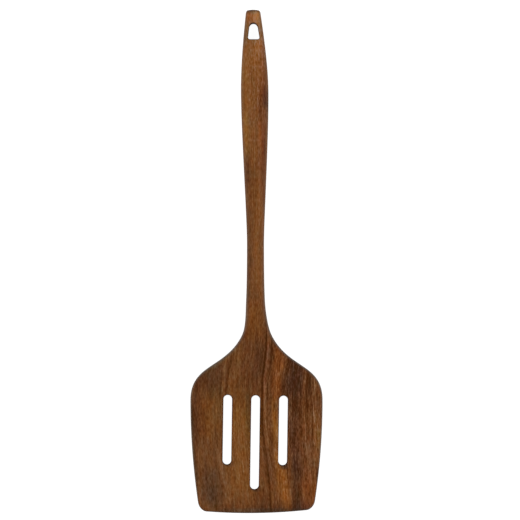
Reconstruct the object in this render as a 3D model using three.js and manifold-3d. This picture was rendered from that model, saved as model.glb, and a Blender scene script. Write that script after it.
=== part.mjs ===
// Slotted wooden spatula, shaped from one board of hardwood. Millimetres, +Z up.
// It lies on its back: X runs across the blade, Y along the handle with the blade at -Y and
// the butt at +Y, and the origin is under the middle of its length on the table it lies on.
import * as THREE from "three";
import { mergeVertices } from "three/addons/utils/BufferGeometryUtils.js";
import Module from "manifold-3d";

const wasm = await Module();
wasm.setup();

const overallLength = 350;

// Plan of the blade, with distances measured back from the front edge
const frontWidth = 81.6; // where the sides meet the front corners
const frontCorner = 7; // radius of the front corners
const frontCrown = 1.5; // how far the front edge bulges between its corners
const frontSkew = 0.8; // degrees that the front edge runs out of square
const cheekWidth = 92; // the widest place, from where the sides bow in to the front
const cheekFromFront = 78.7;
const throatWidth = 23.2; // where the shoulders begin to flare
const throatFromFront = 121.6;
const throatFlare = 30; // degrees that each side leans out there

// Plan of the handle, with distances measured from the butt end
const neckWidth = 11.8; // the narrowest place
const neckFromButt = 162.4;
const gripWidth = 19.1;
const gripFromButt = 58;
const buttWidth = 10.2;
const buttTaper = 7.3; // degrees that each side leans in at the butt
const buttCorner = 2;
const buttCrown = 0.3;

// How far the hand-shaped wood wanders to one side of the blade's centre line
const throatOffset = 0.25;
const wristFromFront = 149; // from here to the neck it holds the same line
const neckOffset = -0.7;
const gripOffset = -1.25;
const buttOffset = -2.35;

// How far each curve of the plan runs on straight from its two ends, as shares of its length
const buttToGrip = [0.54, 0.19];
const gripToNeck = [0.28, 0.16];
const neckToThroat = [0.8, 0.1];
const throatToCheek = [0.49, 0.58];

// Heights above the table
const frontThickness = 1.6;
const bevelThickness = 3; // behind the bevel that thins the front edge
const bevelLength = 6;
const heelThickness = 5.4; // the back of the flat blade
const heelFromFront = 86;
const neckThickness = 10.5;
const neckLift = 2;
const gripThickness = 13.5;
const buttThickness = 8.8;
const buttLift = 2.2;

// How far in from the outline the edges of blade and butt are rounded over, and the width that
// the deeper rounding of the handle leaves flat
const frontRound = 1.2;
const heelRound = 2.2;
const neckFlat = 2.3;
const gripFlat = 5.3;
const buttRound = 2.2;

// Three slots through the blade
const slotWidth = 6;
const slotPitch = 19.4;
const slotHeadFromFront = 82.2; // of the middle slot
const outerSlotLength = 48.5;
const middleSlotLength = 65.5;
const slotLean = 0.85; // degrees that the row of slots is turned, about the middle slot's head
const slotOffset = -0.6; // of the middle slot's head from the blade's centre line
const slotRim = 0.8; // radius of the eased rims

// Hole through the butt to hang it by, arched at the butt end and straight at its foot
const holeFromButt = 9.5;
const holeLength = 11.3;
const holeArch = 3; // height of the arched part
const holeWall = 3.3; // wood left on each side of the hole
const holeCorner = 1.6;
const holeRim = 0.7;

// Facets
const curveSteps = 17; // along each stretch of the plan
const frontSteps = 8;
const buttSteps = 4;
const roundSteps = 4; // over each rounded edge
const faceSteps = 6; // across the flat of each face
const archSteps = 8; // round the half circles of slots and hole
const rimSteps = 3;
const rimStart = 12; // degrees that an eased rim's first facet leans, so that it cuts cleanly
const outlineSteps = 60; // along each stretch of the outline that distances are measured from
const clearOfFaces = 3; // how far the cutters stand out of the wood
const mostInset = 0.85; // of half a row's width that its rounded edge may take up
const halvings = 40; // of a curve, to find a place on it
const weldDistance = 1e-4; // points closer than this are one
const quarterArc = 0.5523; // handle that makes a cubic curve a quarter of a circle

const frontY = -overallLength / 2;
const buttY = overallLength / 2;
const bevelY = frontY + bevelLength;
const heelY = frontY + heelFromFront;
const cheekY = frontY + cheekFromFront;
const throatY = frontY + throatFromFront;
const wristY = frontY + wristFromFront;
const neckY = buttY - neckFromButt;
const gripY = buttY - gripFromButt;
const holeTopY = buttY - holeFromButt;
const holeFootY = holeTopY - holeLength;
const radians = THREE.MathUtils.degToRad;

// A plan point: how far along the spatula, and half the width there.
function station(y, halfWidth) {
  return new THREE.Vector2(y, halfWidth);
}

// A smooth stretch of the plan that leaves one station and reaches the next along given
// directions, running on straight for the given shares of its length.
function stretch(from, fromAngle, to, toAngle, [fromShare, toShare]) {
  const span = from.x - to.x;
  const leave = station(-1, Math.tan(radians(fromAngle))).multiplyScalar(span * fromShare);
  const arrive = station(1, -Math.tan(radians(toAngle))).multiplyScalar(span * toShare);
  return new THREE.CubicBezierCurve(from, from.clone().add(leave), to.clone().add(arrive), to);
}

// A quarter-round corner from the side of the plan to an end, or from an end to the side.
function corner(from, to, sideAngle, startsOnSide) {
  const along = (to.x - from.x) * quarterArc;
  const across = (to.y - from.y) * quarterArc;
  const lean = Math.abs(along) * Math.tan(radians(sideAngle));
  const first = startsOnSide ? station(along, -lean) : station(0, across);
  const last = startsOnSide ? station(0, -across) : station(-along, -lean);
  return new THREE.CubicBezierCurve(from, from.clone().add(first), to.clone().add(last), to);
}

const buttSide = station(buttY - buttCrown - buttCorner, buttWidth / 2);
const buttEnd = station(buttY - buttCrown, buttWidth / 2 - buttCorner);
const grip = station(gripY, gripWidth / 2);
const neck = station(neckY, neckWidth / 2);
const throat = station(throatY, throatWidth / 2);
const cheek = station(cheekY, cheekWidth / 2);
const frontSide = station(frontY + frontCrown + frontCorner, frontWidth / 2);
const frontEnd = station(frontY + frontCrown, frontWidth / 2 - frontCorner);
const sideBow = station((cheek.x + frontSide.x) / 2, cheek.y);
const frontTaper = THREE.MathUtils.radToDeg(sideBow.clone().sub(frontSide).angle());

// Half of the plan, from the butt to the front edge.
const plan = [
  { curve: corner(buttEnd, buttSide, buttTaper, false), steps: buttSteps },
  { curve: stretch(buttSide, buttTaper, grip, 0, buttToGrip), steps: curveSteps },
  { curve: stretch(grip, 0, neck, 0, gripToNeck), steps: curveSteps },
  { curve: stretch(neck, 0, throat, throatFlare, neckToThroat), steps: curveSteps },
  { curve: stretch(throat, throatFlare, cheek, 0, throatToCheek), steps: curveSteps },
  { curve: new THREE.QuadraticBezierCurve(cheek, sideBow, frontSide), steps: curveSteps },
  { curve: corner(frontSide, frontEnd, frontTaper, true), steps: frontSteps },
];

// Points along the whole half plan, each stretch's last point being the next one's first.
function alongPlan(stepsOf) {
  return plan.flatMap((part, i) => part.curve.getPoints(stepsOf(part)).slice(i ? 1 : 0));
}

// Half the width at y.
function halfWidthAt(y) {
  const { curve } = plan.find((part) => y >= part.curve.getPoint(1).x);
  let low = 0;
  let high = 1;
  for (let i = 0; i < halvings; i += 1) {
    const middle = (low + high) / 2;
    if (curve.getPoint(middle).x > y) low = middle;
    else high = middle;
  }
  return curve.getPoint(low).y;
}

// A smooth curve through stations [y, value], in rising y, that never passes a station's value
// between two stations: cubic pieces whose slopes are the harmonic means of their neighbours'.
function smoothThrough(stations) {
  const rise = stations.slice(1).map(([y, v], i) => (v - stations[i][1]) / (y - stations[i][0]));
  const slopes = stations.map((_, i) => {
    if (i === 0) return rise[0];
    if (i === rise.length) return rise[i - 1];
    return rise[i - 1] * rise[i] > 0 ? 2 / (1 / rise[i - 1] + 1 / rise[i]) : 0;
  });
  return (y) => {
    const found = stations.findIndex(([next]) => y <= next);
    const i = found < 0 ? rise.length - 1 : Math.max(found - 1, 0);
    const span = stations[i + 1][0] - stations[i][0];
    const t = THREE.MathUtils.clamp((y - stations[i][0]) / span, 0, 1);
    const eased = t * t * (3 - 2 * t);
    const bend = slopes[i] * t * (1 - t) ** 2 - slopes[i + 1] * t * t * (1 - t);
    return THREE.MathUtils.lerp(stations[i][1], stations[i + 1][1], eased) + span * bend;
  };
}

const centreAt = smoothThrough([
  [frontY, 0],
  [cheekY, 0],
  [throatY, throatOffset],
  [wristY, neckOffset],
  [neckY, neckOffset],
  [gripY, gripOffset],
  [buttY, buttOffset],
]);
const undersideAt = smoothThrough([
  [frontY, 0],
  [heelY, 0],
  [neckY, neckLift],
  [gripY, 0],
  [buttY, buttLift],
]);
const faceAt = smoothThrough([
  [bevelY, bevelThickness],
  [heelY, heelThickness],
  [neckY, neckLift + neckThickness],
  [gripY, gripThickness],
  [buttY, buttLift + buttThickness],
]);
const roundAt = smoothThrough([
  [frontY, frontRound],
  [heelY, heelRound],
  [neckY, (neckWidth - neckFlat) / 2],
  [gripY, (gripWidth - gripFlat) / 2],
  [holeFootY, buttRound],
  [buttY, buttRound],
]);

// The top, where a flat bevel thins the blade to its front edge.
function topAt(y) {
  const share = (y - frontY) / bevelLength;
  return share < 1 ? THREE.MathUtils.lerp(frontThickness, bevelThickness, share) : faceAt(y);
}

// How far a point of a row across the spatula lies from the straight line at y. The rows at the
// two ends follow the crowned ends, and straighten out by the cheeks and the grip.
function bulgeAt(y, halfWidth, share) {
  const towardsFront = THREE.MathUtils.clamp((cheekY - y) / (cheekY - frontSide.x), 0, 1);
  const towardsButt = THREE.MathUtils.clamp((y - gripY) / (buttSide.x - gripY), 0, 1);
  const crown = (buttCrown * towardsButt - frontCrown * towardsFront) * (1 - share * share);
  return crown + towardsFront * Math.tan(radians(frontSkew)) * halfWidth * share;
}

// A point of the plan, share being -1 on its left side, 0 in the middle and 1 on its right.
function planPoint(y, halfWidth, share) {
  return new THREE.Vector2(centreAt(y) + halfWidth * share, y + bulgeAt(y, halfWidth, share));
}

// The closed outline seen from above, as the edge that the rounding is measured from.
function makeOutline() {
  const side = alongPlan(() => outlineSteps);
  const last = side[side.length - 1];
  const across = [...Array(outlineSteps - 1).keys()].map((i) => 1 - (2 * (i + 1)) / outlineSteps);
  const right = side.map((p) => planPoint(p.x, p.y, 1));
  const front = across.map((share) => planPoint(last.x, last.y, share));
  const left = side.map((p) => planPoint(p.x, p.y, -1)).reverse();
  const butt = across.map((share) => planPoint(side[0].x, side[0].y, -share));
  return [...right, ...front, ...left, ...butt];
}

const outline = makeOutline();

// How far a plan point lies inside the outline.
function depthInside(point) {
  const edge = new THREE.Line3();
  const nearest = new THREE.Vector3();
  const at = new THREE.Vector3(point.x, point.y, 0);
  return Math.min(
    ...outline.map((a, i) => {
      const b = outline[(i + 1) % outline.length];
      edge.start.set(a.x, a.y, 0);
      edge.end.set(b.x, b.y, 0);
      return edge.closestPointToPoint(at, true, nearest).distanceTo(at);
    }),
  );
}

// The heights of the top and the underside at a plan point, rounded over towards the outline.
function heightsAt(point, onEdge) {
  const top = topAt(point.y);
  const underside = undersideAt(point.y);
  const middle = (top + underside) / 2;
  const share = onEdge ? 0 : Math.min(depthInside(point) / roundAt(point.y), 1);
  const fullness = Math.sqrt(1 - (1 - share) ** 2);
  return {
    top: middle + (top - middle) * fullness,
    underside: middle - (middle - underside) * fullness,
  };
}

// Where the columns of a row stand: close together over the two rounded edges, even between.
function columnShares(halfWidth, steepness, y) {
  const inset = Math.min((roundAt(y) * Math.hypot(1, steepness)) / halfWidth, mostInset);
  const edge = [...Array(roundSteps).keys()].map((i) => {
    return 1 - inset * (1 - Math.cos((Math.PI / 2) * (i / roundSteps)));
  });
  const flat = [...Array(faceSteps + 1).keys()].map((i) => {
    return (1 - inset) * (1 - (2 * i) / faceSteps);
  });
  return [...edge, ...flat, ...edge.map((share) => -share).reverse()];
}

// The uncut blank: two sheets, top and underside, welded to each other along the outline.
function makeBlank() {
  const stations = alongPlan((part) => part.steps);
  const rows = stations.map((p, i) => {
    const before = stations[Math.max(i - 1, 0)];
    const after = stations[Math.min(i + 1, stations.length - 1)];
    const steepness = (after.y - before.y) / (after.x - before.x);
    const shares = columnShares(p.y, steepness, p.x);
    return shares.map((share, j) => {
      const onEnd = i === 0 || i === stations.length - 1;
      const point = planPoint(p.x, p.y, share);
      const heights = heightsAt(point, onEnd || j === 0 || j === shares.length - 1);
      return [
        [point.x, point.y, heights.top],
        [point.x, point.y, heights.underside],
      ];
    });
  });
  const triangles = [];
  for (let i = 0; i + 1 < rows.length; i += 1) {
    for (let j = 0; j + 1 < rows[i].length; j += 1) {
      const quad = [rows[i][j], rows[i][j + 1], rows[i + 1][j + 1], rows[i + 1][j]];
      const [a, b, c, d] = quad.map(([top]) => top);
      const [e, f, g, h] = quad.map(([, underside]) => underside);
      triangles.push(a, b, d, b, c, d, e, h, f, f, h, g);
    }
  }
  return solidFrom(triangles);
}

// A closed solid from a list of corner points, three to a triangle.
function solidFrom(corners) {
  const soup = new THREE.BufferGeometry();
  soup.setAttribute("position", new THREE.Float32BufferAttribute(corners.flat(), 3));
  const merged = mergeVertices(soup, weldDistance);
  const index = merged.index.array;
  const kept = [];
  for (let i = 0; i < index.length; i += 3) {
    const [a, b, c] = index.slice(i, i + 3);
    if (a !== b && b !== c && c !== a) kept.push(a, b, c);
  }
  return new wasm.Manifold(
    new wasm.Mesh({
      numProp: 3,
      vertProperties: new Float32Array(merged.attributes.position.array),
      triVerts: new Uint32Array(kept),
    }),
  );
}

// A closed loop of plan points moved outwards by a distance. The loop runs anticlockwise.
function grown(loop, distance) {
  return loop.map((p, i) => {
    const before = loop[(i + loop.length - 1) % loop.length];
    const after = loop[(i + 1) % loop.length];
    const along = after.clone().sub(before).normalize();
    return new THREE.Vector2(p.x + along.y * distance, p.y - along.x * distance);
  });
}

// The solid that cuts a loop through the wood and eases its rims: straight inside the wood,
// spreading by the rim's radius at both faces, and standing clear of them.
function throughCut(loop, rim) {
  const start = radians(rimStart);
  const turns = [...Array(rimSteps + 1).keys()].map((i) => {
    return start + (Math.PI / 2 - start) * (i / rimSteps);
  });
  const rimRings = turns.map((turn) => ({
    spread: rim * (1 - Math.sin(turn)),
    depth: rim * (1 - Math.cos(turn)),
  }));
  const profile = [{ spread: rim, depth: -clearOfFaces }, ...rimRings];
  const lower = profile.map(({ spread, depth }) => {
    return grown(loop, spread).map((p) => [p.x, p.y, undersideAt(p.y) + depth]);
  });
  const upper = profile.map(({ spread, depth }) => {
    return grown(loop, spread).map((p) => [p.x, p.y, topAt(p.y) - depth]);
  });
  const rings = [...lower, ...upper.reverse()];
  const triangles = [];
  for (let k = 0; k + 1 < rings.length; k += 1) {
    loop.forEach((_, i) => {
      const next = (i + 1) % loop.length;
      const [a, b, c, d] = [rings[k][i], rings[k][next], rings[k + 1][next], rings[k + 1][i]];
      triangles.push(a, b, c, a, c, d);
    });
  }
  const faces = THREE.ShapeUtils.triangulateShape(loop, []);
  faces.forEach(([a, b, c]) => {
    const [first, last] = [rings[0], rings[rings.length - 1]];
    triangles.push(first[a], first[c], first[b], last[a], last[b], last[c]);
  });
  return solidFrom(triangles);
}

// A slot's outline, round at both ends, in a row that is turned about the middle slot's head.
function slotLoop(column, length) {
  const radius = slotWidth / 2;
  const x = column * slotPitch;
  const run = length - slotWidth;
  const shape = new THREE.Path();
  shape.absarc(x, 0, radius, 0, Math.PI);
  shape.absarc(x, -run, radius, Math.PI, 2 * Math.PI);
  const pivot = new THREE.Vector2();
  const middleHead = new THREE.Vector2(slotOffset, frontY + slotHeadFromFront - radius);
  return shape.getPoints(archSteps).map((p) => {
    return p.clone().rotateAround(pivot, radians(-slotLean)).add(middleHead);
  });
}

// The hanging hole's outline: sides that keep an even wall, an arch, and a straight foot.
function holeLoop() {
  const springY = holeTopY - holeArch;
  const springHalf = halfWidthAt(springY) - holeWall;
  const footHalf = halfWidthAt(holeFootY) - holeWall;
  const lean = (footHalf - springHalf) / (springY - holeFootY);
  const rise = holeArch * quarterArc;
  const run = springHalf * quarterArc;
  const shape = new THREE.Path();
  shape.moveTo(footHalf - holeCorner, holeFootY);
  shape.quadraticCurveTo(footHalf, holeFootY, footHalf, holeFootY + holeCorner);
  shape.lineTo(springHalf, springY);
  shape.bezierCurveTo(springHalf - lean * rise, springY + rise, run, holeTopY, 0, holeTopY);
  shape.bezierCurveTo(-run, holeTopY, lean * rise - springHalf, springY + rise, -springHalf, springY);
  shape.lineTo(-footHalf, holeFootY + holeCorner);
  shape.quadraticCurveTo(-footHalf, holeFootY, -footHalf + holeCorner, holeFootY);
  const points = shape.getPoints(archSteps);
  const loop = points.filter((p, i) => i === 0 || p.distanceTo(points[i - 1]) > weldDistance);
  return loop.map((p) => new THREE.Vector2(p.x + centreAt(p.y), p.y));
}

function makeSpatula() {
  const slots = [
    slotLoop(-1, outerSlotLength),
    slotLoop(0, middleSlotLength),
    slotLoop(1, outerSlotLength),
  ];
  const cuts = [
    ...slots.map((loop) => throughCut(loop, slotRim)),
    throughCut(holeLoop(), holeRim),
  ];
  const carved = cuts.reduce((wood, cut) => wood.subtract(cut), makeBlank());
  const { vertProperties, triVerts } = carved.getMesh();
  const geometry = new THREE.BufferGeometry();
  geometry.setAttribute("position", new THREE.BufferAttribute(vertProperties, 3));
  geometry.setIndex(new THREE.BufferAttribute(triVerts, 1));
  geometry.computeVertexNormals();
  const oiledWood = new THREE.MeshStandardMaterial({
    color: 0x6f4424,
    roughness: 0.55,
    metalness: 0,
  });
  const mesh = new THREE.Mesh(geometry, oiledWood);
  mesh.name = "wooden_spatula";
  return mesh;
}

const spatula = new THREE.Group();
spatula.add(makeSpatula());

export default spatula;
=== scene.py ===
import math

import bpy
import bmesh
import numpy as np
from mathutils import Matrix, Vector
from mathutils.geometry import delaunay_2d_cdt


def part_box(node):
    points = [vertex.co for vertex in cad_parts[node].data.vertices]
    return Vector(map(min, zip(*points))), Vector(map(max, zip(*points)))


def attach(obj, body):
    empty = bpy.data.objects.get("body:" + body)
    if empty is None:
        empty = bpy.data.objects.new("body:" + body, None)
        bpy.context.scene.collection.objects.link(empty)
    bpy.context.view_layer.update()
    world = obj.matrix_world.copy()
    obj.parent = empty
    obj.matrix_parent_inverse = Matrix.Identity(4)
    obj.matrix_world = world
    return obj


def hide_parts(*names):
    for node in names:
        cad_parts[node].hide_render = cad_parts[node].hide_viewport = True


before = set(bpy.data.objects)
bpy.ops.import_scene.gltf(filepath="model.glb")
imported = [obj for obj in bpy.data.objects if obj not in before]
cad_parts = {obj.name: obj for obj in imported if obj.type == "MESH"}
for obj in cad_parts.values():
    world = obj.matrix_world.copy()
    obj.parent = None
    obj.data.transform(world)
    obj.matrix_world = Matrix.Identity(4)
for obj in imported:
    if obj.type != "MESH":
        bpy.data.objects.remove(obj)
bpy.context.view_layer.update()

mm = 0.001
nodeName = "wooden_spatula"
nodeLow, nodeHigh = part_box(nodeName)

# Plan and side view of the spatula, the same sizes as the solid that it stands for.
# Distances "FromFront" run back from the front edge, and "FromButt" forward from the butt.
spatula = dict(
    front=nodeLow.y, butt=nodeHigh.y, cheekWidth=nodeHigh.x - nodeLow.x,
    frontWidth=81.6 * mm, frontCorner=7 * mm, frontCrown=1.5 * mm, frontSkew=math.radians(0.8),
    cheekFromFront=78.7 * mm,
    throatWidth=23.2 * mm, throatFromFront=121.6 * mm, throatFlare=math.radians(30), throatOffset=0.25 * mm,
    wristFromFront=149 * mm,
    neckWidth=11.8 * mm, neckFromButt=162.4 * mm, neckOffset=-0.7 * mm,
    gripWidth=19.1 * mm, gripFromButt=58 * mm, gripOffset=-1.25 * mm,
    buttWidth=10.2 * mm, buttTaper=math.radians(7.3), buttCorner=2 * mm, buttCrown=0.3 * mm,
    buttOffset=-2.35 * mm,
    buttToGrip=(0.54, 0.19), gripToNeck=(0.28, 0.16), neckToThroat=(0.8, 0.1), throatToCheek=(0.49, 0.58),
    frontThickness=1.6 * mm, bevelThickness=3 * mm, bevelLength=6 * mm,
    heelThickness=5.4 * mm, heelFromFront=86 * mm,
    neckThickness=10.5 * mm, neckLift=2 * mm, gripThickness=13.5 * mm,
    buttThickness=8.8 * mm, buttLift=2.2 * mm,
    frontRound=1.2 * mm, heelRound=2.2 * mm, neckFlat=2.3 * mm, gripFlat=5.3 * mm, buttRound=2.2 * mm,
    sandingDepth=0.05 * mm,  # how far the hand-sanded top rolls up and down
    # its waves: radians a metre across and along, and where each one starts
    sandingWaves=((31, 190, 0.4), (-47, 120, 1.9), (83, 64, 4.1), (150, -90, 2.7), (60, 230, 5.5)),
)
slots = dict(
    width=6 * mm, pitch=19.4 * mm, headFromFront=82.2 * mm, outerLength=48.5 * mm, middleLength=65.5 * mm,
    lean=math.radians(0.85), offset=-0.6 * mm, rim=0.8 * mm,
)
hangHole = dict(
    fromButt=9.5 * mm, length=11.3 * mm, arch=3 * mm, wall=3.3 * mm, corner=1.6 * mm, rim=0.7 * mm,
)
meshing = dict(
    curveSteps=400,  # points on each curve before it is spaced out
    spacing=0.9 * mm, turn=math.radians(8),  # at most this far, or this much of a turn, between points
    edgeRings=8, rimRings=5, wallRings=3,
    faceSpacing=1.5 * mm, rimClearance=0.55,  # grid points keep this share of their spacing from a rim
    rimBatches=7,  # rim points are measured against the grid in so many lots, to spare memory
    fillKind=2,  # triangles within the outline, with the cuts left open
    shortest=1e-9, weld=2e-6,  # m: points this close count as one
)
quarterArc = 0.5523  # handle that makes a cubic curve a quarter of a circle
parabolaArc = 2 / 3  # and the one that makes it a parabola


# A cubic curve: four points weighted by the Bernstein polynomials of a parameter from 0 to 1.
def cubic(*points):
    t = np.linspace(0, 1, meshing["curveSteps"])[:, None]
    weights = (1 - t) ** 3, 3 * t * (1 - t) ** 2, 3 * t ** 2 * (1 - t), t ** 3
    return sum(w * np.array(p) for w, p in zip(weights, points))


# A stretch of the plan: a cubic curve that leaves and arrives at given angles, running on
# straight for given shares of its length.
def stretch(start, startAngle, end, endAngle, shares):
    span = start[0] - end[0]
    leave = np.array((-1, math.tan(startAngle))) * span * shares[0]
    arrive = np.array((1, -math.tan(endAngle))) * span * shares[1]
    return cubic(start, start + leave, end + arrive, end)


# A smooth function through stations (y, value): cubic pieces whose slopes at the stations are
# the harmonic means of the slopes on both sides, and level where those slopes part.
def smoothThrough(*stations):
    ys, values = np.array(stations, float).T
    rises = np.diff(values) / np.diff(ys)
    before, after = rises[:-1], rises[1:]
    agree = before * after > 0
    safe = np.where(agree, before + after, 1)
    inner = np.where(agree, 2 * before * after / safe, 0)
    slopes = np.concatenate((rises[:1], inner, rises[-1:]))

    # The value at y: an eased step between the stations on both sides, bent to meet their slopes.
    def evaluate(y):
        i = np.clip(np.searchsorted(ys, y) - 1, 0, len(rises) - 1)
        span = ys[i + 1] - ys[i]
        t = np.clip((y - ys[i]) / span, 0, 1)
        eased = t * t * (3 - 2 * t)
        bend = slopes[i] * t * (1 - t) ** 2 - slopes[i + 1] * t * t * (1 - t)
        return values[i] + (values[i + 1] - values[i]) * eased + span * bend

    return evaluate


frontY, buttY = spatula["front"], spatula["butt"]
bevelY = frontY + spatula["bevelLength"]
heelY = frontY + spatula["heelFromFront"]
cheekY = frontY + spatula["cheekFromFront"]
throatY = frontY + spatula["throatFromFront"]
wristY = frontY + spatula["wristFromFront"]
neckY = buttY - spatula["neckFromButt"]
gripY = buttY - spatula["gripFromButt"]
holeTopY = buttY - hangHole["fromButt"]
holeFootY = holeTopY - hangHole["length"]

centreAt = smoothThrough(
    (frontY, 0), (cheekY, 0), (throatY, spatula["throatOffset"]), (wristY, spatula["neckOffset"]),
    (neckY, spatula["neckOffset"]), (gripY, spatula["gripOffset"]), (buttY, spatula["buttOffset"]),
)
undersideAt = smoothThrough(
    (frontY, 0), (heelY, 0), (neckY, spatula["neckLift"]), (gripY, 0), (buttY, spatula["buttLift"]),
)
faceAt = smoothThrough(
    (bevelY, spatula["bevelThickness"]), (heelY, spatula["heelThickness"]),
    (neckY, spatula["neckLift"] + spatula["neckThickness"]), (gripY, spatula["gripThickness"]),
    (buttY, spatula["buttLift"] + spatula["buttThickness"]),
)
roundAt = smoothThrough(
    (frontY, spatula["frontRound"]), (heelY, spatula["heelRound"]),
    (neckY, (spatula["neckWidth"] - spatula["neckFlat"]) / 2),
    (gripY, (spatula["gripWidth"] - spatula["gripFlat"]) / 2),
    (holeFootY, spatula["buttRound"]), (buttY, spatula["buttRound"]),
)


# Hand sanding: the mean of a few long, slow sine waves across and along the top.
def sandingAt(x, y):
    waves = spatula["sandingWaves"]
    return spatula["sandingDepth"] * sum(np.sin(a * x + b * y + c) for a, b, c in waves) / len(waves)


# The top: a straight bevel rising from the front edge, then the smooth face, both rolled by the
# sanding, which only takes wood away.
def topAt(x, y):
    share = np.clip((y - frontY) / spatula["bevelLength"], 0, 1)
    bevel = spatula["frontThickness"] + (spatula["bevelThickness"] - spatula["frontThickness"]) * share
    return np.where(y < bevelY, bevel, faceAt(y)) + sandingAt(x, y) - spatula["sandingDepth"]


# Half the plan from butt to front, as (y, half width): cubic curves end to end.
def planSide():
    # A point of the plan: how far along it lies, and half the width there.
    def station(y, width):
        return np.array((y, width / 2))

    buttCrown, buttCorner = spatula["buttCrown"], spatula["buttCorner"]
    frontCrown, frontCorner = spatula["frontCrown"], spatula["frontCorner"]
    buttEnd = station(buttY - buttCrown, spatula["buttWidth"] - 2 * buttCorner)
    buttSide = station(buttY - buttCrown - buttCorner, spatula["buttWidth"])
    grip = station(gripY, spatula["gripWidth"])
    neck = station(neckY, spatula["neckWidth"])
    throat = station(throatY, spatula["throatWidth"])
    cheek = station(cheekY, spatula["cheekWidth"])
    frontSide = station(frontY + frontCrown + frontCorner, spatula["frontWidth"])
    frontEnd = station(frontY + frontCrown, spatula["frontWidth"] - 2 * frontCorner)
    bow = np.array(((cheek[0] + frontSide[0]) / 2, cheek[1]))  # the sides bow in as a parabola
    frontLean = (bow[1] - frontSide[1]) / (bow[0] - frontSide[0])
    buttLean = math.tan(spatula["buttTaper"])
    buttReach, frontReach = buttCorner * quarterArc, frontCorner * quarterArc
    pieces = (
        cubic(buttEnd, buttEnd + (0, buttReach), buttSide + (buttReach, -buttReach * buttLean), buttSide),
        stretch(buttSide, spatula["buttTaper"], grip, 0, spatula["buttToGrip"]),
        stretch(grip, 0, neck, 0, spatula["gripToNeck"]),
        stretch(neck, 0, throat, spatula["throatFlare"], spatula["neckToThroat"]),
        stretch(throat, spatula["throatFlare"], cheek, 0, spatula["throatToCheek"]),
        cubic(cheek, cheek + (bow - cheek) * parabolaArc,
              frontSide + (bow - frontSide) * parabolaArc, frontSide),
        cubic(frontSide, frontSide - (frontReach, frontReach * frontLean),
              frontEnd + (0, frontReach), frontEnd),
    )
    return np.concatenate([piece[:-1] for piece in pieces] + [pieces[-1][-1:]])


# Plan points: the centre line plus a share of the half width, and the ends' crown and skew,
# which fade out towards the cheeks and the grip.
def planPoints(y, half, share):
    frontSideY = frontY + spatula["frontCrown"] + spatula["frontCorner"]
    buttSideY = buttY - spatula["buttCrown"] - spatula["buttCorner"]
    towardsFront = np.clip((cheekY - y) / (cheekY - frontSideY), 0, 1)
    towardsButt = np.clip((y - gripY) / (buttSideY - gripY), 0, 1)
    crown = (spatula["buttCrown"] * towardsButt - spatula["frontCrown"] * towardsFront) * (1 - share ** 2)
    skew = towardsFront * math.tan(spatula["frontSkew"]) * half * share
    return np.stack((centreAt(y) + half * share, y + crown + skew), axis=1)


# A loop spaced out: each stretch counts by its length and by how far it turns.
def spacedOut(loop):
    steps = np.roll(loop, -1, 0) - loop
    lengths = np.hypot(*steps.T)
    apart = lengths > meshing["shortest"]
    loop, steps, lengths = loop[apart], steps[apart], lengths[apart]
    headings = np.arctan2(steps[:, 1], steps[:, 0])
    turns = np.abs(np.angle(np.exp(1j * (np.roll(headings, -1) - headings))))
    counts = lengths / meshing["spacing"] + (turns + np.roll(turns, 1)) / 2 / meshing["turn"]
    along = np.concatenate(((0,), np.cumsum(counts)))
    closed = np.concatenate((loop, loop[:1]))
    marks = np.linspace(0, along[-1], math.ceil(along[-1]), endpoint=False)
    return np.stack([np.interp(marks, along, closed[:, axis]) for axis in (0, 1)], axis=1)


# The outline, anticlockwise, so that the wood lies on its left: the plan's two sides, joined by the
# crowned ends.
def outlineLoop():
    y, half = planSide().T
    across = np.linspace(1, -1, meshing["curveSteps"])[1:-1]
    right = planPoints(y, half, np.ones_like(y))
    left = planPoints(y, half, -np.ones_like(y))
    front = planPoints(np.full_like(across, y[-1]), np.full_like(across, half[-1]), across)
    butt = planPoints(np.full_like(across, y[0]), np.full_like(across, half[0]), -across)
    return spacedOut(np.concatenate((right, front, left[::-1], butt))[::-1])


# A slot, clockwise: two half circles joined by straights, in a row turned about the middle slot's head.
def slotLoop(column, length):
    radius = slots["width"] / 2
    turn = np.linspace(math.pi, 0, meshing["curveSteps"])
    head = np.stack((np.cos(turn), np.sin(turn)), axis=1) * radius
    foot = -head + (0, slots["width"] - length)
    x, y = (np.concatenate((head, foot)) + (column * slots["pitch"], 0)).T
    cos, sin = math.cos(-slots["lean"]), math.sin(-slots["lean"])
    place = (slots["offset"], frontY + slots["headFromFront"] - radius)
    return spacedOut(np.stack((x * cos - y * sin, x * sin + y * cos), axis=1) + place)


# The hanging hole, clockwise: straight sides that leave an even wall, an arch and a foot.
def holeLoop():
    side = planSide()[::-1]
    springY = holeTopY - hangHole["arch"]
    springHalf, footHalf = np.interp((springY, holeFootY), *side.T) - hangHole["wall"]
    lean = (footHalf - springHalf) / (springY - holeFootY)
    rise, run = hangHole["arch"] * quarterArc, springHalf * quarterArc
    corner, bend = hangHole["corner"], hangHole["corner"] * parabolaArc
    footSide = np.array((footHalf, holeFootY + corner))
    footEnd = np.array((footHalf - corner, holeFootY))
    arch = cubic((0, holeTopY), (run, holeTopY),
                 (springHalf - lean * rise, springY + rise), (springHalf, springY))
    foot = cubic(footSide, footSide - (0, bend), footEnd + (bend, 0), footEnd)
    right = np.concatenate((arch, foot))
    loop = np.concatenate((right, right[::-1] * (-1, 1)))
    loop[:, 0] += centreAt(loop[:, 1])
    return spacedOut(loop)


# Unit normals of a loop, pointing to its left: its central differences turned by a right angle.
def leftOf(loop):
    along = np.roll(loop, -1, 0) - np.roll(loop, 1, 0)
    return np.stack((-along[:, 1], along[:, 0]), axis=1) / np.hypot(*along.T)[:, None]


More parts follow.
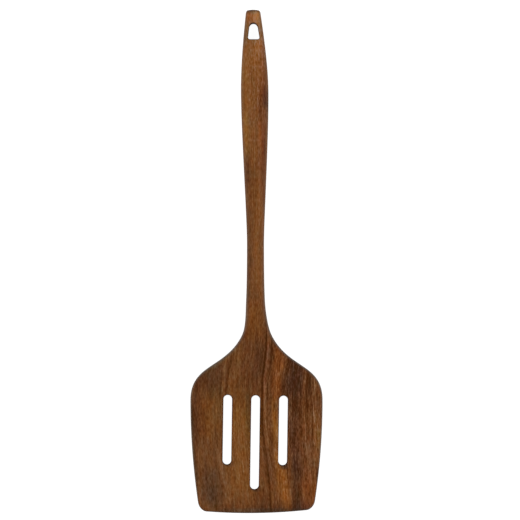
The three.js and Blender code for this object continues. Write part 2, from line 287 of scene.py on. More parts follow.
# The rounded edge: half an ellipse carried along the outline, as deep as the rounding and as
# tall as the wood is thick.
def edgeRings(loop):
    swing = np.linspace(math.pi / 2, -math.pi / 2, 2 * meshing["edgeRings"] + 1)[:, None]
    inset = roundAt(loop[:, 1]) * (1 - np.cos(swing))
    x, y = np.moveaxis(loop + leftOf(loop) * inset[..., None], 2, 0)
    top, underside = topAt(x, y), undersideAt(y)
    return np.stack((x, y, (top + underside) / 2 + (top - underside) / 2 * np.sin(swing)), axis=2)


# A cut's wall: a quarter circle at the top rim, a straight wall and a quarter circle below,
# carried along the loop. Also gives how far each ring is turned from the face, 0 to 1 on the wall.
def cutRings(loop, rim):
    swing = np.linspace(0, math.pi / 2, meshing["rimRings"] + 1)[:, None]
    spread, depth = rim * (1 - np.sin(swing)), rim * (1 - np.cos(swing))
    x, y = np.moveaxis(loop + leftOf(loop) * np.repeat(spread, len(loop), 1)[..., None], 2, 0)
    upper, lower = topAt(x, y) - depth, undersideAt(y) + depth
    down = np.linspace(0, 1, meshing["wallRings"] + 2)[1:-1, None]
    wall = upper[-1] + (lower[-1] - upper[-1]) * down
    xs = np.concatenate((x, np.repeat(x[-1:], len(wall), 0), x[::-1]))
    ys = np.concatenate((y, np.repeat(y[-1:], len(wall), 0), y[::-1]))
    turned = np.concatenate((np.sin(swing), np.ones_like(down), np.sin(swing[::-1])))
    return np.stack((xs, ys, np.concatenate((upper, wall, lower[::-1]))), axis=2), turned


# Quads between rings of points: each point, the one below it, and their next neighbours.
def ringQuads(rings, first):
    count = rings.shape[1]
    index = first + np.arange(rings.shape[0] * count).reshape(rings.shape[:2])
    ahead = np.roll(index, -1, 1)
    return np.stack((index[:-1], index[1:], ahead[1:], ahead[:-1]), axis=2).reshape(-1, 4)


# Whether points lie inside a loop: they do if a ray to the right crosses it an odd number of times.
def isInside(points, loop):
    ahead = np.roll(loop, -1, 0)
    x, y = points[:, :1], points[:, 1:]
    straddles = (loop[:, 1] > y) != (ahead[:, 1] > y)
    rise = np.where(ahead[:, 1] == loop[:, 1], 1, ahead[:, 1] - loop[:, 1])
    crossing = loop[:, 0] + (y - loop[:, 1]) / rise * (ahead[:, 0] - loop[:, 0])
    return (straddles & (x < crossing)).sum(1) % 2 == 1


# Whether points lie on the wood: inside the outline, which is the first rim, and in none of the cuts.
def isOnWood(points, rims):
    outline, *cuts = (isInside(points, rim) for rim in rims)
    return outline & ~np.any(cuts, axis=0)


# The plan between the rims: an even grid of points, clear of the rims, and the rims themselves, joined
# by triangles with a constrained Delaunay fill.
def fillPlan(rims):
    gap = meshing["faceSpacing"]
    low, high = rims[0].min(0), rims[0].max(0)
    columns, rows = (np.arange(low[axis], high[axis], gap) for axis in (0, 1))
    grid = np.stack(np.meshgrid(columns, rows), axis=2).reshape(-1, 2)
    grid = grid[isOnWood(grid, rims)]
    rimPoints = np.concatenate(rims)
    batches = (rimPoints[start::meshing["rimBatches"]] for start in range(meshing["rimBatches"]))
    nearest = np.min([np.hypot(*(grid - batch[:, None]).T).min(1) for batch in batches], axis=0)
    grid = grid[nearest > meshing["rimClearance"] * gap]
    starts = np.cumsum([0] + [len(rim) for rim in rims])
    loops = [np.arange(start, end) for start, end in zip(starts, starts[1:])]
    edges = np.concatenate([np.stack((loop, np.roll(loop, -1)), axis=1) for loop in loops])
    points = list(map(Vector, np.concatenate((rimPoints, grid)).tolist()))
    filled = delaunay_2d_cdt(points, edges.tolist(), [], meshing["fillKind"], meshing["shortest"], False)
    flat, triangles = np.array(filled[0], float), np.array(filled[2])
    return flat, triangles[isOnWood(flat[triangles].mean(1), rims)]


# The whole spatula: rounded edge, cut walls, and the top and underside filled between them.
def makeSpatula(material):
    edge = edgeRings(outlineLoop())
    lengths = slots["outerLength"], slots["middleLength"], slots["outerLength"]
    cuts = [cutRings(slotLoop(column, length), slots["rim"]) for column, length in zip((-1, 0, 1), lengths)]
    cuts.append(cutRings(holeLoop(), hangHole["rim"]))
    bands = [edge] + [rings for rings, turned in cuts]
    flat, triangles = fillPlan([band[0, :, :2] for band in bands])
    x, y = flat.T
    points = [band.reshape(-1, 3) for band in bands]
    starts = np.cumsum([0] + [len(p) for p in points])
    quads = np.concatenate([ringQuads(band, start) for band, start in zip(bands, starts)])
    points += [np.stack((x, y, topAt(x, y)), axis=1), np.stack((x, y, undersideAt(y)), axis=1)]
    top = triangles + starts[-1]
    underside = triangles[:, ::-1] + starts[-1] + len(flat)
    mesh = bpy.data.meshes.new("figured_spatula")
    mesh.from_pydata(np.concatenate(points).tolist(), [], quads.tolist() + top.tolist() + underside.tolist())
    sawn = [np.zeros(edge[..., 0].size)] + [np.repeat(turned, rings.shape[1]) for rings, turned in cuts]
    sawn = np.concatenate(sawn + [np.zeros(2 * len(flat))])
    mesh.attributes.new("sawn", "FLOAT", "POINT").data.foreach_set("value", sawn)
    sewn = bmesh.new()
    sewn.from_mesh(mesh)
    bmesh.ops.remove_doubles(sewn, verts=sewn.verts, dist=meshing["weld"])
    sewn.to_mesh(mesh)
    sewn.free()
    layGrain(mesh)
    mesh.polygons.foreach_set("use_smooth", np.ones(len(mesh.polygons), bool))
    mesh.materials.append(material)
    piece = bpy.data.objects.new("figured_spatula", mesh)
    bpy.context.scene.collection.objects.link(piece)
    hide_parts(nodeName)
    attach(piece, "root")
    print("spatula:", len(mesh.vertices), "points,", len(mesh.polygons), "faces")


# A value on its way through a material's nodes. Arithmetic on it adds Math nodes.
class Flow:
    def __init__(self, tree, socket=None):
        self.tree = tree
        self.socket = socket

    # Adds a node: its settings first, then its sockets' values or links. Gives one of its outputs.
    def node(self, kind, settings, inputs, output=0):
        made = self.tree.nodes.new(kind)
        for name, value in settings.items():
            if name == "stops":
                self.setStops(made.color_ramp.elements, value)
            else:
                setattr(made, name, value)
        for key, value in inputs.items():
            if isinstance(value, Flow):
                self.tree.links.new(value.socket, made.inputs[key])
            else:
                made.inputs[key].default_value = value
        return None if output is None else Flow(self.tree, made.outputs[output])

    # Gives a colour ramp its stops, each a position from 0 to 1 and a colour.
    def setStops(self, elements, stops):
        while len(elements) < len(stops):
            elements.new(1)
        for element, (position, colour) in zip(elements, stops):
            element.position = position
            element.color = (*colour, 1)

    # One Math node: the operation on the values, which are flows or plain numbers.
    def math(self, operation, *values):
        return self.node("ShaderNodeMath", dict(operation=operation), dict(enumerate(values)))

    def __add__(self, other):
        return self.math("ADD", self, other)

    def __sub__(self, other):
        return self.math("SUBTRACT", self, other)

    def __rsub__(self, other):
        return self.math("SUBTRACT", other, self)

    def __mul__(self, other):
        return self.math("MULTIPLY", self, other)

    def __truediv__(self, other):
        return self.math("DIVIDE", self, other)

    __radd__ = __add__
    __rmul__ = __mul__

    # The greater of the value and a limit, the lesser of them, and the value held between two limits.
    def atLeast(self, other):
        return self.math("MAXIMUM", self, other)

    def atMost(self, other):
        return self.math("MINIMUM", self, other)

    def between(self, low, high):
        return self.atLeast(low).atMost(high)

    # Mixes with a plain colour by an amount. A Mix node has its sockets for colours at these places.
    def mixed(self, colour, amount, **settings):
        factor, first, second, result = 0, 6, 7, 2
        sockets = {factor: amount, first: self, second: (*colour, 1)}
        return self.node("ShaderNodeMix", dict(data_type="RGBA", **settings), sockets, result)

    # The colour times a tint: colour * (1 - amount + amount * tint), where the amount may be negative.
    def tinted(self, colour, amount):
        return self.mixed(colour, amount, blend_type="MULTIPLY", clamp_factor=False)

    # The colour drawn towards another: colour * (1 - amount) + other * amount, from 0 to 1.
    def blended(self, colour, amount):
        return self.mixed(colour, amount)


# One mark in the figure, in mm on the board: its middle across the grain, half its width, where it
# starts and ends along the grain, and how it changes tone (-1 to 1), warmth and olive tint. A soft
# mark fades at its sides, and any other has a crisp edge.
def mark(middle, halfWidth, fromY, toY, tone=0, warm=0, olive=0, lean=0, soft=False):
    return dict(middle=middle, halfWidth=halfWidth, fromY=fromY, toY=toY, lean=lean,
                tone=tone, warm=warm, olive=olive, soft=soft)


# A mark that fades at its sides.
def softMark(*sizes, **changes):
    return mark(*sizes, soft=True, **changes)


wood = dict(
    # from the darkest heartwood lines to the palest wood
    tones=(
        (0.0, (0.049, 0.015, 0.004)),
        (0.25, (0.098, 0.034, 0.0105)),
        (0.45, (0.153, 0.0555, 0.015)),
        (0.65, (0.219, 0.085, 0.023)),
        (1.0, (0.367, 0.161, 0.061)),
    ),
    # how the tone goes along the board: (y in mm, tone)
    alongTones=(
        (-175, 0.30), (-169, 0.38), (-165, 0.41), (-120, 0.40), (-100, 0.375), (-80, 0.34), (-60, 0.34),
        (-45, 0.40), (-30, 0.44), (0, 0.49), (60, 0.50), (85, 0.52), (105, 0.50), (125, 0.58), (145, 0.64),
        (160, 0.67), (172, 0.76),
    ),
    # the vein that the grain follows round the blade: (y, x) in mm, and how wide its pull reaches
    vein=(
        (-175, 10.2), (-166, 9.8), (-150, 8.4), (-133, 6.1), (-117, 4.4), (-100, 3.7), (-83, 4.1),
        (-67, 5.85), (-57, 6.8), (-50, 7.0), (-20, 7.2), (175, 7.2),
    ),
    veinWaist=3.7, veinMiddle=5, veinReach=18, leastPull=0.5,
    drift=0.35,  # how far the grain leans per mm of depth
    warmTint=(1.10, 0.94, 0.70), oliveTint=(0.99, 1.14, 1.08), mostTint=2,
    # thin dark lines are redder than the wood about them, and pale ones greyer
    lineTint=(1.10, 0.976, 0.52), lineStrength=5, mostLine=1.8, mostPale=1.1, thinMark=2.5,
    fadeDepth=6, leastFade=0.35, fadeFray=0.2,  # how the marks die away into the board
    roughness=0.42, specular=0.05, sheenChange=0.08,
    sideRoughness=0.45,  # how much rougher the wood is on its sides than on its faces
    paintedSheenColour=(0.162, 0.127, 0.098), edgePaintedSheen=1.0, bladePaintedSheen=2.2,  # painted sheen: the upper rounded edges drawn towards grey, as if they reflected the white room
    endGrainAndShade=-0.45, endWarmth=-0.6, endOlive=-1.0, cutWallPaintedShade=-0.35,  # end faces darker, partly oiled end grain and partly painted shade, and painted shade in the cuts' rims and walls
    relief=0.05 * mm, reliefStrength=0.4, fineRelief=0.5,  # how far the flecks and fibres stand up
)
# The noise in the figure: a streak's width and length in mm, its finer detail and its seed, then
# how much of each goes into the wandering of the grain, the tone and the tints.
weave = dict(
    bend=(14, 60, 2, 3.1), ripple=(2.5, 22, 2, 8.7), streak=(3.2, 32, 2, 5.3), fleck=(0.7, 2.8, 1, 27.3),
    fine=(0.95, 13, 2, 11.9), hair=(1.8, 14, 1, 35.1), thread=(1.3, 60, 2, 17.7),
    blush=(2.6, 7, 1, 41.7), moss=(3, 8, 1, 53.9),
    depthStretch=2, roughness=0.55,  # streaks run so much deeper than wide, with detail this rough
    bendReach=0.9, rippleReach=0.4, fineReach=0.3, fray=0.12,
    streakTone=0.12, fleckTone=0.41, fineTone=0.26, hairTone=0.22, threadTone=0.24,
    blushWarm=1.2, streakWarm=0.3, plainWarm=0.2, mossOlive=0.85, streakOlive=0.2,
    rightFrom=-4, rightOver=24, rightFleck=0.18, rightFine=0.32,  # the blade is livelier to the right
    footFrom=-140, footOver=30, footCalm=0.6,  # though less so at its foot
    handleFrom=-60, handleOver=60, handleFine=0.85, handleFleck=0.1,  # and the handle is calmer
    buttFrom=60, buttOver=50, buttFine=0.45,  # but its lines are bolder again towards the butt
    smoothFrom=-10, smoothOver=3,  # save along its left
)
# The marks: mostly the figure, with some painted shade and highlights at edges, ends and slot feet; the
# blade from left to right, its foot, then the handle.
marks = dict(
    leftMargin=softMark(-42, 6.5, -64, -132, tone=-0.16, warm=-0.1),
    # painted shade: darker and greyer along the blade's left rounded edge
    leftEdgePaintedShade=softMark(-45.6, 3.4, -80, -178, tone=-0.22, warm=-0.7, olive=0.8, lean=-0.02),
    leftSlotHead=softMark(-18, 3, -79, -97, tone=0.1),
    leftShoulder=softMark(-31, 12, -60, -98, tone=-0.07, warm=-0.9),
    # painted highlight: a pale grey streak along the left shoulder's rounded edge, where it catches the
    # light
    leftShoulderPaintedSheen=softMark(-25.5, 5, -56, -79, tone=0.12, warm=-1, olive=0.8, lean=1.13),
    tanStreak=mark(-22.8, 1.1, -60, -93, tone=0.2, warm=0.6, olive=0.7, lean=0.05),
    tanShadow=mark(-20.3, 1.0, -62, -96, tone=-0.2, lean=0.12),
    tanEdge=mark(-25, 0.9, -74, -97, tone=-0.15, lean=0.04),
    paleShoulder=softMark(-15.5, 6, -58, -88, tone=0.07, olive=0.4),
    lobeLine=mark(-30, 1.0, -90, -121, tone=0.12),
    lobeShade=mark(-27.8, 0.9, -104, -119, tone=-0.08),
    lobeRed=softMark(-35, 10, -78, -126, warm=0.9),
    lobeOlive=softMark(-30, 12, -80, -126, olive=0.9),
    purplePatch=softMark(-34, 13, -140, -174, tone=-0.09, warm=-1.6, olive=-0.4),
    purpleHeart=softMark(-33.5, 6, -153, -174, tone=-0.06, warm=-0.6),
    purpleTop=softMark(-33, 14, -120, -150, warm=-0.5),
    slantStreak=mark(-25.3, 1.5, -131, -168, tone=0.15, lean=-0.19),
    slantTop=mark(-26.8, 1.3, -129, -143, tone=0.13, lean=-0.17),
    slantShade=mark(-28, 1.2, -138, -160, tone=-0.08, lean=-0.19),
    leftThread=mark(-35.4, 1.0, -106, -124, tone=-0.07),
    goldenField=softMark(-13, 12, -88, -174, tone=0.13, warm=0.3, olive=0.5),
    goldenHeart=softMark(-13, 11, -76, -122, warm=0.6, olive=0.7),
    goldenFoot=softMark(-22, 8, -137, -170, tone=0.04, olive=0.2),
    slotShade=softMark(-6, 3.4, -82, -136, tone=-0.12, olive=1.3),
    slotEdge=softMark(2, 2.4, -98, -124, tone=-0.16, warm=1.4, olive=2),
    throatWarm=softMark(-5, 9, -26, -58, warm=0.8, olive=0.4),
    throatCool=softMark(2, 8, -54, -82, warm=-0.9, olive=-0.4),
    throatShade=softMark(-2, 7, -40, -99, tone=-0.07),
    veinTop=mark(3.8, 0.85, -37, -95, tone=-0.46),
    veinWaist=mark(3.7, 1.1, -82, -130, tone=-0.36),
    veinFoot=mark(3.7, 1.4, -118, -182, tone=-0.18),
    veinLine=mark(3.7, 0.8, -138, -180, tone=-0.17),
    veinCool=softMark(4, 4.5, -124, -158, warm=-0.9, olive=-0.5),
    veinShadow=mark(1.8, 1.6, -60, -80, tone=-0.10),
    veinPale=mark(1.4, 1.0, -116, -140, tone=0.08),
    paleTop=mark(5.3, 1.0, -40, -96, tone=0.15, olive=-0.6, lean=-0.015),
    paleWaist=mark(5.85, 1.2, -82, -121, tone=0.22),
    paleFoot=mark(5.9, 1.1, -116, -150, tone=0.03),
    lineTop=mark(7.9, 1.3, -50, -84, tone=-0.20),
    orangeRim=mark(9.3, 0.9, -54, -74, tone=-0.14, lean=-0.36),
    lineBranch=mark(9.5, 0.8, -76, -94, tone=-0.12),
    lineWaist=mark(7.5, 0.8, -80, -118, tone=-0.14),
    lineFoot=mark(8.4, 1.3, -114, -146, tone=-0.12),
    orangeTop=mark(13.8, 4.6, -46, -100, tone=0.12, warm=0.9, olive=-0.3),
    orangeWaist=softMark(13, 4.8, -98, -150, tone=0.17, warm=0.25, olive=0.4),
    orangePeak=mark(13.4, 1.4, -78, -97, tone=0.06, warm=0.3),
    orangeLeft=mark(12.2, 1.2, -71, -94, tone=0.13),
    goldStripe=softMark(12.4, 3, -90, -126, tone=0.03, warm=1.1, olive=0.8),
    orangeThread=mark(10.4, 1.3, -64, -94, tone=-0.12),
    orangeRight=mark(17.4, 1.2, -62, -79, tone=0.10, warm=0.6),
    orangeFoot=mark(15.5, 5, -130, -186, tone=0.17, warm=1.0, olive=0.3, lean=-0.1),
    orangeGlow=softMark(14.6, 2, -141, -172, tone=0.08),
    footGap=mark(17.4, 1.0, -134, -150, tone=0.12),
    goldFoot=softMark(10.6, 2.6, -144, -168, tone=0.1, warm=0.6, olive=0.3),
    footThread=mark(12.2, 0.7, -150, -166, tone=-0.14),
    footBound=mark(18.1, 0.8, -141, -160, tone=-0.14),
    slotHeadShade=softMark(20.3, 4.6, -77, -97, tone=-0.16, warm=-0.3),
    slotHeadLeft=softMark(17.4, 2.6, -84, -97, tone=-0.18, warm=0.8),
    darkBand=mark(26, 7, -56, -122, tone=-0.20, warm=-0.1),
    darkShoulder=mark(21, 2.4, -58, -82, tone=-0.12),
    darkHeart=mark(26.6, 2.4, -62, -115, tone=-0.13),
    purpleShoulder=softMark(27, 10, -56, -98, warm=-1.3, olive=-0.9),
    rightShoulder=softMark(39, 5, -64, -84, tone=0.1, warm=-1.4, olive=-0.7),
    bandEdge=mark(30.6, 1.6, -84, -124, tone=-0.17),
    bandThread=mark(23.2, 1.8, -92, -120, tone=0.13, warm=-0.5),
    darkFoot=softMark(25.6, 6.5, -108, -156, tone=-0.20),
    paleSliver=mark(25.5, 0.7, -132, -150, tone=0.16),
    coolFoot=softMark(28, 14, -104, -152, warm=-0.5, olive=-0.6),
    redLine=mark(35.1, 1.6, -72, -124, tone=-0.22),
    redEdge=mark(32.8, 0.9, -72, -122, tone=0.06, warm=0.5),
    redPale=mark(33.3, 0.9, -104, -124, tone=0.12),
    lobeThread=mark(38.6, 0.9, -96, -128, tone=-0.14),
    lobePale=mark(35.2, 1.3, -122, -150, tone=0.14),
    shoulderThread=mark(36.2, 1.0, -73, -85, tone=-0.10),
    shoulderShade=softMark(37, 2.6, -76, -96, tone=-0.13, olive=0.4),
    lowerThread=mark(31.9, 1.1, -126, -142, tone=-0.05),
    goldenTop=mark(40.4, 1.3, -77, -93, tone=0.2),
    goldenEdge=softMark(42, 4, -100, -132, tone=0.12, warm=-0.3),
    lobeFoot=softMark(34, 8, -150, -172, tone=0.07),
    goldenRim=softMark(42.8, 2.8, -114, -134, tone=0.10, warm=-0.3, olive=0.6),
    edgePale=mark(39.6, 0.9, -90, -122, tone=0.14),
    rimPale=mark(40.6, 0.8, -118, -138, tone=0.12),
    rimDark=mark(41.6, 0.6, -118, -138, tone=-0.08),
    lowerDark=mark(24.8, 4.8, -134, -186, tone=-0.2, warm=-0.4),
    lowerRed=softMark(33, 8, -140, -182, warm=0.7, olive=-0.55),
    # painted shade: darker along the right rounded edge of the foot
    rightFootEdgePaintedShade=softMark(40.6, 2.2, -138, -176, tone=-0.3, warm=-0.6),
    footShade=softMark(-2, 9, -156, -190, tone=-0.11),
    footLeft=softMark(-37, 11, -164, -188, tone=0.13),
    footMiddle=softMark(-16, 6, -166, -188, tone=0.07),
    footRight=softMark(18, 22, -164, -186, tone=-0.12),
    footCool=softMark(29, 8, -162, -182, warm=-1.2, olive=-0.7),
    footLine=mark(-31.1, 0.9, -160, -177, tone=-0.2),
    # painted shade: darker and cooler along the rounded front edge and its bevel
    frontEdgePaintedShade=softMark(5, 60, -170.6, -178.6, tone=-0.05, warm=-2),
    # painted shade: dark crescents at the slots' feet, where their end walls and rims lie in shade
    leftSlotFootPaintedShade=softMark(-20.8, 4, -137.6, -143.2, tone=-0.16, warm=-1),
    middleSlotFootPaintedShade=softMark(-5.9, 4.6, -155, -160.6, tone=-0.26, warm=-1),
    rightSlotFootPaintedShade=softMark(16.1, 5, -138, -145, tone=-0.44, warm=-1.6),
    gripGolden=softMark(-12.5, 5.5, 60, 152, tone=0.12, warm=2, olive=1.8),
    # painted reflection: the grip's left rounded side paler and greyer-olive
    gripRimPaintedSheen=softMark(-12.4, 2.2, 66, 152, tone=0.1, warm=-1.2, olive=2.2),
    gripOlive=softMark(-10.6, 4.5, 66, 106, tone=0.08, warm=0.4, olive=1.2),
    gripLight=softMark(-1.1, 2.2, 74, 102, tone=0.19),
    gripShade=softMark(2, 3, 70, 98, tone=-0.14, warm=0.8, olive=-0.5),
    gripKnot=softMark(3.4, 4, 105, 124, tone=-0.42, warm=0.4, olive=-0.6),
    knotRim=softMark(6.4, 2.4, 102, 124, tone=-1, warm=0.8),
    gripEdge=softMark(5.2, 2.6, 70, 160, tone=-0.12),
    gripRed=softMark(1.5, 6, 30, 166, warm=-0.3, olive=-1.1),
    neckSpot=softMark(-9.5, 3, 50, 78, tone=-0.22),
    neckLeft=softMark(-8.5, 5.5, -36, 78, tone=-0.09),
    neckRight=softMark(-1, 5.5, -36, 56, tone=0.07),
    neckEdge=softMark(2.4, 2.8, 30, 90, tone=-0.2, warm=1.2, olive=0.2),
    throatEdge=softMark(-9.4, 3.4, -36, 48, tone=-0.15, olive=0.6),
    buttSpot=softMark(-3.4, 4, 160, 184, tone=0.28),
    buttPale=softMark(-1.7, 3.2, 140, 160, tone=0.19),
    buttLeft=softMark(-10.8, 2.4, 146, 186, tone=-0.12, warm=-0.9),
    buttGrey=softMark(-4.5, 14, 149, 169.5, warm=-1.1),
    buttRed=softMark(-8, 4, 163, 180, warm=0.2, olive=-0.7),
    # painted shade: darker and greyer over the butt's rounded end
    buttEnd=softMark(-8, 11, 170.8, 179.2, tone=-0.12, warm=-2),
)
veinAt = smoothThrough(*wood["vein"])


# The board's own coordinates in mm, kept on the mesh: across the grain, which bends with the vein,
# along it, and down from the top face. The pull of the vein fades away from it as a bell curve.
def layGrain(mesh):
    places = np.empty(3 * len(mesh.vertices), np.float32)
    mesh.vertices.foreach_get("co", places)
    x, y, z = places.reshape(-1, 3).T.astype(float)
    depth = (topAt(x, y) - z) / mm
    x, y = x / mm, y / mm
    bell = np.exp(-((x - wood["veinMiddle"]) / wood["veinReach"]) ** 2)
    pull = wood["leastPull"] + (1 - wood["leastPull"]) * bell
    across = x - (veinAt(y) - wood["veinWaist"]) * pull + wood["drift"] * depth
    grain = mesh.attributes.new("grain", "FLOAT_VECTOR", "POINT")
    grain.data.foreach_set("vector", np.stack((across, y, depth), axis=1).ravel())


# Streaks: noise drawn out along the grain, from -1 to 1. Each place on the board is divided by a
# streak's width, length and depth, and the seed moves it to another part of the noise.
def streaks(u, v, depth, width, length, detail, seed):
    down = depth / (weave["depthStretch"] * width)
    place = u.node("ShaderNodeCombineXYZ", {}, {0: u / width, 1: v / length + seed, 2: down})
    grained = {"Vector": place, "Scale": 1.0, "Detail": detail, "Roughness": weave["roughness"]}
    return u.node("ShaderNodeTexNoise", {}, grained) * 2 - 1


# How strongly a mark shows: 1 less the square of the way out across it and the fourth power of the way
# out along it, never below 0, and squared if the mark is soft.
def markMask(u, v, m):
    middleY = (m["fromY"] + m["toY"]) / 2
    across = u - m["middle"]
    if m["lean"]:
        across = across - (v - middleY) * m["lean"]
    across = across / m["halfWidth"]
    along = (v - middleY) / (abs(m["toY"] - m["fromY"]) / 2)
    squared = along * along
    inside = (1 - across * across - squared * squared).atLeast(0)
    return inside * inside if m["soft"] else inside


# The oiled wood. Its tone is the board's along its length, plus noise, marks and fine lines, less
# on end faces, partly for oiled end grain and partly as painted shade, and less in the cuts as painted
# shade. A ramp makes the tone a colour, which noise and marks tint warm or olive, thin lines tint red,
# and a painted sheen greys along the upper edges. Some marks are painted shade or highlights.
def makeWood():
    material = bpy.data.materials.new("oiled_wood")
    material.use_nodes = True
    tree = material.node_tree
    tree.nodes.clear()
    start = Flow(tree)
    grain = start.node("ShaderNodeAttribute", dict(attribute_name="grain"), {}, "Vector")
    u, v, depth = (start.node("ShaderNodeSeparateXYZ", {}, {0: grain}, axis) for axis in range(3))

    # One of the weave's noises, over the grain or over a wandering copy of it.
    def strewn(name, across=u):
        return streaks(across, v, depth, *weave[name])

    wander = strewn("bend") * weave["bendReach"] + strewn("ripple") * weave["rippleReach"]
    streak = strewn("streak", u + wander)
    fine = strewn("fine", u + wander * weave["fineReach"])
    fleck = strewn("fleck")
    hair = strewn("hair", u + wander)
    thread = strewn("thread", u + wander * weave["fineReach"])
    right = ((u - weave["rightFrom"]) / weave["rightOver"]).between(0, 1)
    right = right * (1 - ((weave["footFrom"] - v) / weave["footOver"]).between(0, 1) * weave["footCalm"])
    handle = ((v - weave["handleFrom"]) / weave["handleOver"]).between(0, 1)
    low, high = wood["alongTones"][0][0], -wood["alongTones"][0][0]  # the ramp spans the whole board
    stops = [((at - low) / (high - low), (value,) * 3) for at, value in wood["alongTones"]]
    tone = start.node("ShaderNodeValToRGB", dict(stops=stops), {0: (v - low) / (high - low)})
    tone = tone + streak * weave["streakTone"]
    lines = fine * (weave["fineTone"] + right * weave["rightFine"]) + hair * weave["hairTone"]
    lines = lines * (1 - handle * weave["handleFine"]) + thread * handle * weave["threadTone"]
    flecked = weave["fleckTone"] + right * weave["rightFleck"]
    lines = lines + fleck * flecked * (1 - handle * weave["handleFleck"])
    butt = ((v - weave["buttFrom"]) / weave["buttOver"]).between(0, 1)
    butt = butt * ((u - weave["smoothFrom"]) / weave["smoothOver"]).between(0, 1)
    lines = lines * (1 + butt * weave["buttFine"])
    warm = strewn("blush") * weave["blushWarm"] + streak * weave["streakWarm"] + weave["plainWarm"]
    olive = strewn("moss") * weave["mossOlive"] + streak * weave["streakOlive"]
    frayed = u + fine * weave["fray"]
    fade = (1 - depth / wood["fadeDepth"]).atLeast(wood["leastFade"]) * (1 + fine * wood["fadeFray"])
    for m in marks.values():
        mask = markMask(frayed, v, m) * fade
        if m["halfWidth"] < wood["thinMark"] and not m["soft"]:
            lines = lines + mask * m["tone"]
        elif m["tone"]:
            tone = tone + mask * m["tone"]
        if m["warm"]:
            warm = warm + mask * m["warm"]
        if m["olive"]:
            olive = olive + mask * m["olive"]
    facing = start.node("ShaderNodeTexCoord", {}, {}, "Normal")
    endwise, upward = (start.node("ShaderNodeSeparateXYZ", {}, {0: facing}, axis) for axis in (1, 2))
    sawn = start.node("ShaderNodeAttribute", dict(attribute_name="sawn"), {}, "Fac")
    # End faces darken: partly oil soaking into end grain, partly painted shade on the butt end, the hole's
    # arch and the slots' end walls. The cuts' rims and walls get painted shade.
    ended = endwise * endwise
    tone = tone + lines + ended * wood["endGrainAndShade"] + sawn * wood["cutWallPaintedShade"]
    warm = warm + ended * wood["endWarmth"]
    olive = olive + ended * wood["endOlive"]
    sideways = 1 - upward * upward
    colour = start.node("ShaderNodeValToRGB", dict(stops=wood["tones"]), {0: tone})
    colour = colour.tinted(wood["warmTint"], warm.between(-wood["mostTint"], wood["mostTint"]))
    reddened = (lines * -wood["lineStrength"]).between(-wood["mostPale"], wood["mostLine"])
    colour = colour.tinted(wood["lineTint"], reddened)
    colour = colour.tinted(wood["oliveTint"], olive.between(-wood["mostTint"], wood["mostTint"]))
    # Painted sheen: rounded edges that face upwards, outside the cuts, drawn towards grey as if they
    # reflected the white room.
    paintedSheenShare = sideways * sideways * sideways * upward.atLeast(0) * (1 - sawn)
    paintedSheenShare = paintedSheenShare * (wood["edgePaintedSheen"] + (1 - handle) * wood["bladePaintedSheen"])
    colour = colour.blended(wood["paintedSheenColour"], paintedSheenShare)
    height = fine * wood["fineRelief"] + fleck
    relief = {"Strength": wood["reliefStrength"], "Distance": wood["relief"], "Height": height}
    bump = start.node("ShaderNodeBump", {}, relief)
    roughness = wood["roughness"] + sideways * wood["sideRoughness"] - streak * wood["sheenChange"]
    finish = {
        "Base Color": colour, "Roughness": roughness, "Specular IOR Level": wood["specular"],
        "Normal": bump,
    }
    shader = start.node("ShaderNodeBsdfPrincipled", {}, finish)
    start.node("ShaderNodeOutputMaterial", {}, {0: shader}, None)
    print("wood:", len(marks), "marks,", len(tree.nodes), "nodes")
    return material


makeSpatula(makeWood())

studio = dict(
    cameraHeight=1.8, aimX=2.43 * mm, aimY=1.28 * mm, span=361.7 * mm, spanHeight=3.7 * mm, sensor=36.0,
    worldLight=0.4,
    lamps=dict(  # where each soft box hangs, its size and its power
        key=((-1.5, 0.8, 1.3), 2.2, 28.0),
        fill=((1.65, -0.2, 1.3), 2.2, 22.0),
        low=((0.1, -1.9, 1.1), 2.0, 10.5),
    ),
    floorSize=12.0, floorColour=(0.8, 0.8, 0.8, 1), floorShade=(0.2, 0.2, 0.2, 1),
    white=(1, 1, 1, 1), floorGlow=0.95,
)


# The camera looks straight down, with a lens that spans the photograph's width at the blade's height.
def makeCamera():
    data = bpy.data.cameras.new("camera")
    data.sensor_width = studio["sensor"]
    data.lens = studio["sensor"] * (studio["cameraHeight"] - studio["spanHeight"]) / studio["span"]
    camera = bpy.data.objects.new("camera", data)
    camera.location = (studio["aimX"], studio["aimY"], studio["cameraHeight"])
    bpy.context.scene.collection.objects.link(camera)
    bpy.context.scene.camera = camera
    print("camera: lens", round(data.lens, 2))


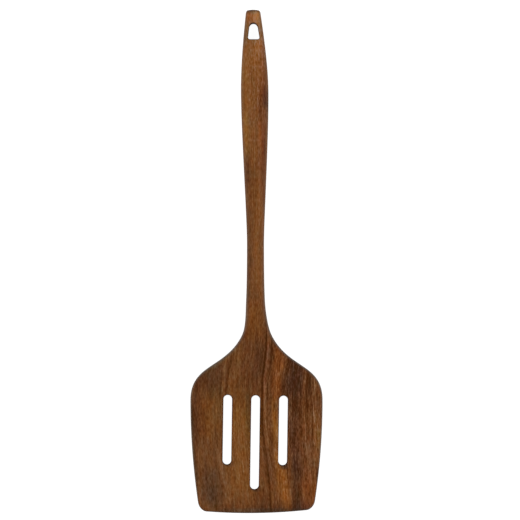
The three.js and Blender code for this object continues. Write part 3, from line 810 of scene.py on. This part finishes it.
# Soft boxes, each turned so that its face looks at the middle of the spatula, in an even grey room.
def makeLights():
    for name, (place, size, power) in studio["lamps"].items():
        data = bpy.data.lights.new(name, "AREA")
        data.size = size
        data.energy = power
        lamp = bpy.data.objects.new(name, data)
        lamp.location = place
        lamp.rotation_euler = (-Vector(place)).to_track_quat("-Z", "Y").to_euler()
        bpy.context.scene.collection.objects.link(lamp)
    world = bpy.data.worlds.new("room")
    world.use_nodes = True
    background = world.node_tree.nodes["Background"]
    background.inputs["Color"].default_value = studio["white"]
    background.inputs["Strength"].default_value = studio["worldLight"]
    bpy.context.scene.world = world
    print("lights:", len(studio["lamps"]), "soft boxes")


# The floor: matt and pale to the light, and to the eye a white glow that still takes the shadow.
def makeFloor():
    half = studio["floorSize"] / 2
    corners = np.array(((-1, -1, 0), (1, -1, 0), (1, 1, 0), (-1, 1, 0))) * half
    mesh = bpy.data.meshes.new("floor")
    mesh.from_pydata(corners.tolist(), [], [(0, 1, 2, 3)])
    material = bpy.data.materials.new("pale_floor")
    material.use_nodes = True
    material.node_tree.nodes.clear()
    start = Flow(material.node_tree)
    path = {name: start.node("ShaderNodeLightPath", {}, {}, name)
            for name in ("Is Camera Ray", "Is Glossy Ray", "Is Transmission Ray")}
    seen = (path["Is Camera Ray"] + path["Is Glossy Ray"] + path["Is Transmission Ray"]).atMost(1)
    pale = start.node("ShaderNodeBsdfDiffuse", {}, {"Color": studio["floorColour"]})
    shade = start.node("ShaderNodeBsdfDiffuse", {}, {"Color": studio["floorShade"]})
    glow = start.node("ShaderNodeEmission", {}, {"Color": studio["white"], "Strength": studio["floorGlow"]})
    white = start.node("ShaderNodeAddShader", {}, {0: shade, 1: glow})
    mixed = start.node("ShaderNodeMixShader", {}, {0: seen, 1: pale, 2: white})
    start.node("ShaderNodeOutputMaterial", {}, {0: mixed}, None)
    mesh.materials.append(material)
    floor = bpy.data.objects.new("floor", mesh)
    bpy.context.scene.collection.objects.link(floor)
    print("floor:", studio["floorSize"], "m across")


makeCamera()
makeLights()
makeFloor()
bpy.context.scene.view_settings.view_transform = "Standard"
